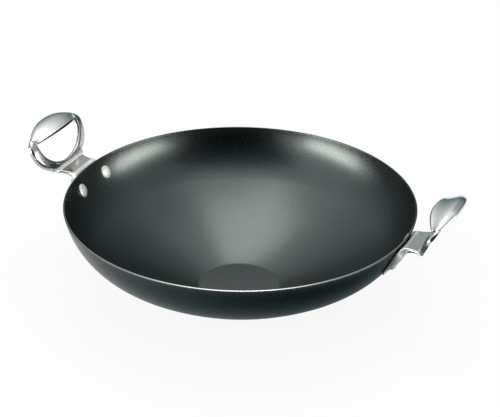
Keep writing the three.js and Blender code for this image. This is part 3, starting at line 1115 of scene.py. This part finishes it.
@dataclass(frozen=True)
class Stand:
    """Stand of a lamp or card, by its angle round from the front, its height angle and its distance."""

    name: str
    azimuth: float
    elevation: float
    distance: float

    def place(self, target: Vector) -> Matrix:
        """Place in metres, facing a target."""
        turn = swing(math.radians(self.azimuth), math.radians(self.elevation))
        return Matrix.Translation(target) @ turn @ Matrix.Translation((0, 0, self.distance))


@dataclass(frozen=True)
class Softbox(Stand):
    """Soft area lamp."""

    width: float
    length: float
    radiance: float

    def build(self, target: Vector) -> None:
        """Adds the lamp.

        Args:
            target: Point that it faces, in metres.
        """
        lamp = bpy.data.lights.new(self.name, "AREA")
        lamp.shape = "RECTANGLE"
        lamp.size, lamp.size_y = self.width, self.length
        lamp.color = linear(LAMP_TINT)[:3]
        lamp.energy = self.radiance * math.pi * self.width * self.length
        thing = bpy.data.objects.new(self.name, lamp)
        bpy.context.scene.collection.objects.link(thing)
        thing.matrix_world = self.place(target)


@dataclass(frozen=True)
class Flag(Stand):
    """Card that only the metal mirrors, as a photographer sets one to give bright metal its darks."""

    width: float
    length: float
    low: float
    high: float
    run: float

    def build(self, target: Vector) -> None:
        """Adds the card, which runs from a low tone at its foot to a high one at its top.

        Args:
            target: Point that it faces, in metres.
        """
        bpy.ops.object.select_all(action="DESELECT")
        bpy.ops.mesh.primitive_plane_add(size=1)
        card = bpy.context.object
        card.name = self.name
        card.matrix_world = self.place(target) @ Matrix.Diagonal((self.width, self.length, 1, 1))
        material, add = new_material(self.name)
        place = add("TexCoord").outputs["Object"]
        height = add("SeparateXYZ", {0: place}).outputs["Y"]
        share = add("Math", {0: height, 1: 0.5}, operation="ADD")
        run = add("Math", {0: share, 1: self.run}, operation="POWER")
        light_card(card, material, add, add("MapRange", {0: run, 3: self.low, 4: self.high}))


@dataclass
class Studio:
    """Pale floor, white surround, soft lamps and the camera at the photograph's angle.

    The camera's distances are in millimetres, and those of the floor, lamps and cards in metres.
    """

    bowl: Bowl
    camera_azimuth: float = math.radians(24.328)
    camera_elevation: float = math.radians(27.830)
    camera_roll: float = math.radians(0.797)
    camera_distance: float = 1300.0
    rim_lift: float = 0.6
    camera_right: float = 8.11
    camera_up: float = -7.0
    focal_pixels: float = 1529.78
    image_width: float = 500.0
    sensor_width: float = 36.0
    floor_size: float = 12.0
    floor_paint: str = "f0f0f0"
    lamps: list[Softbox] = field(default_factory=lambda: [
        Softbox("overhead", 218, 74, 1.5, 0.8, 0.7, 2.5),
        Softbox("left", -43, 9, 1.5, 1.15, 0.6, 8.2),
        Softbox("right", 101, 8.5, 1.5, 1.1, 0.56, 7.0),
    ])
    flags: list[Flag] = field(default_factory=lambda: [
        Flag("front_flag", 33, 38, 1.9, 2.9, 3.2, 0.0, 1.2, 4.5),
        Flag("rear_left_card", 218, 22, 2.2, 2.7, 2.2, 0.1, 0.95, 1.6),
        Flag("rear_right_card", 157, 22, 2.2, 2.7, 2.2, 0.05, 0.58, 1.6),
        Flag("right_card", 108, 48, 2.2, 2.4, 1.6, 0.5, 0.6, 1.0),
        Flag("left_card", -107, 22, 2.2, 2.4, 2.2, 0.04, 0.88, 1.0),
    ])
    floor_flag_radius: float = 0.45
    floor_flag_sides: int = 96
    floor_flag_lift: float = 0.0004
    floor_flag_turn: float = math.radians(-122)
    floor_flag_reach: float = 0.2
    floor_flag_dark: float = 0.0
    floor_flag_pale: float = 0.95
    floor_flag_near: float = 0.18
    floor_flag_far: float = 0.29
    floor_flag_open: float = 0.9
    floor_glow: float = 0.9
    fill: float = 0.7

    def build_camera(self) -> None:
        """Adds the camera and makes it the scene's own."""
        turn = swing(self.camera_azimuth, self.camera_elevation) @ Matrix.Rotation(self.camera_roll, 4, "Z")
        rim_centre = Vector((0, 0, self.bowl.height + self.rim_lift))
        place = rim_centre + turn @ Vector((self.camera_right, self.camera_up, self.camera_distance))
        data = bpy.data.cameras.new("camera")
        data.sensor_fit = "HORIZONTAL"
        data.sensor_width = self.sensor_width
        data.lens = self.focal_pixels / self.image_width * self.sensor_width
        camera = bpy.data.objects.new("camera", data)
        bpy.context.scene.collection.objects.link(camera)
        camera.matrix_world = Matrix.Translation(place * MM) @ turn
        bpy.context.scene.camera = camera

    def build_floor(self) -> None:
        """Adds the pale floor, which shows as white and keeps the wok's shadow."""
        bpy.ops.object.select_all(action="DESELECT")
        bpy.ops.mesh.primitive_plane_add(size=self.floor_size, location=(0, 0, 0))
        floor = bpy.context.object
        floor.name = "floor"
        material, add = new_material("pale_floor")
        paint = add("BsdfDiffuse", {"Color": linear(self.floor_paint)})
        glow = add("Emission", {"Color": linear(WHITE), "Strength": 1.0})
        share = add("Math", {0: seen_or_mirrored(add), 1: self.floor_glow}, operation="MULTIPLY")
        both = add("MixShader", {0: share, 1: paint, 2: glow})
        add("OutputMaterial", {"Surface": both})
        floor.data.materials.append(material)

    def build_floor_flag(self) -> None:
        """Adds the dark card under the wok that only the metal mirrors."""
        bpy.ops.object.select_all(action="DESELECT")
        bpy.ops.mesh.primitive_circle_add(vertices=self.floor_flag_sides, radius=self.floor_flag_radius,
                                          fill_type="NGON", location=(0, 0, self.floor_flag_lift))
        card = bpy.context.object
        card.name = "floor_flag"
        material, add = new_material("floor_flag")
        place = add("TexCoord").outputs["Object"]
        way = (math.sin(self.floor_flag_turn), -math.cos(self.floor_flag_turn), 0.0)
        along = add("VectorMath", {0: place, 1: way}, operation="DOT_PRODUCT").outputs["Value"]
        tone = add("MapRange",
                   {0: along, 1: -self.floor_flag_reach, 2: self.floor_flag_reach,
                    3: self.floor_flag_dark, 4: self.floor_flag_pale})
        # It turns paler outside the wok's own shadow
        reach = add("VectorMath", {0: place}, operation="LENGTH").outputs["Value"]
        lifted = add("MapRange",
                     {0: reach, 1: self.floor_flag_near, 2: self.floor_flag_far,
                      3: tone, 4: self.floor_flag_open}, interpolation_type="SMOOTHSTEP")
        light_card(card, material, add, lifted)

    def build_world(self) -> None:
        """White surround for the camera and for what the metal mirrors, and plain grey fill light."""
        world = bpy.data.worlds.new("studio")
        bpy.context.scene.world = world
        world.use_nodes = True
        world.node_tree.nodes.clear()
        add = partial(add_node, world.node_tree)
        fill = add("Background", {"Color": linear(WHITE), "Strength": self.fill})
        white = add("Background", {"Color": linear(WHITE), "Strength": 1.0})
        both = add("MixShader", {0: seen_or_mirrored(add), 1: fill, 2: white})
        add("OutputWorld", {"Surface": both})

    def build(self) -> None:
        """Builds the whole studio."""
        self.build_camera()
        self.build_floor()
        self.build_floor_flag()
        self.build_world()
        target = Vector((0, 0, self.bowl.height / 2)) * MM
        for lamp in self.lamps:
            lamp.build(target)
        for flag in self.flags:
            flag.build(target)
        bpy.context.scene.view_settings.view_transform = "Standard"


def main() -> None:
    """Builds the wok's pieces, dresses them and sets up the studio."""
    logging.basicConfig(level=logging.INFO, format="%(name)s: %(message)s")
    bowl = Bowl([BluedIron().build()])
    handle = Handle([PRESSED_STEEL.build()], bowl)
    grip = Grip([POLISHED_STEEL.build(), LEAF_EDGE_SHADE.build()], handle)
    rivet = Rivet([RIVET_STEEL.build()], bowl, handle)

    bowl.dress(bowl.build(), "wok_bowl")
    first_handle, first_grip, first_rivet = handle.build(), grip.build(), rivet.build()
    for side in Side:
        handle.dress(copy_of(first_handle, side.node("pressed_handle"), side.turn), side.node("handle"))
        grip.dress(copy_of(first_grip, side.node("leaf_grip"), side.turn), side.node("grip"))
        for place in RivetPlace:
            seat, sign = place.value
            mirrored = sign if side is Side.RIGHT else -sign
            name = f"{side.node('headed_rivet')}_{seat}"
            piece = copy_of(first_rivet, name, side.turn @ rivet.place(mirrored))
            rivet.dress(piece, f"{side.node('rivet')}_{seat}")
    for pattern in (first_handle, first_grip, first_rivet):
        bpy.data.objects.remove(pattern)

    Studio(bowl).build()


if __name__ == "__main__":
    main()
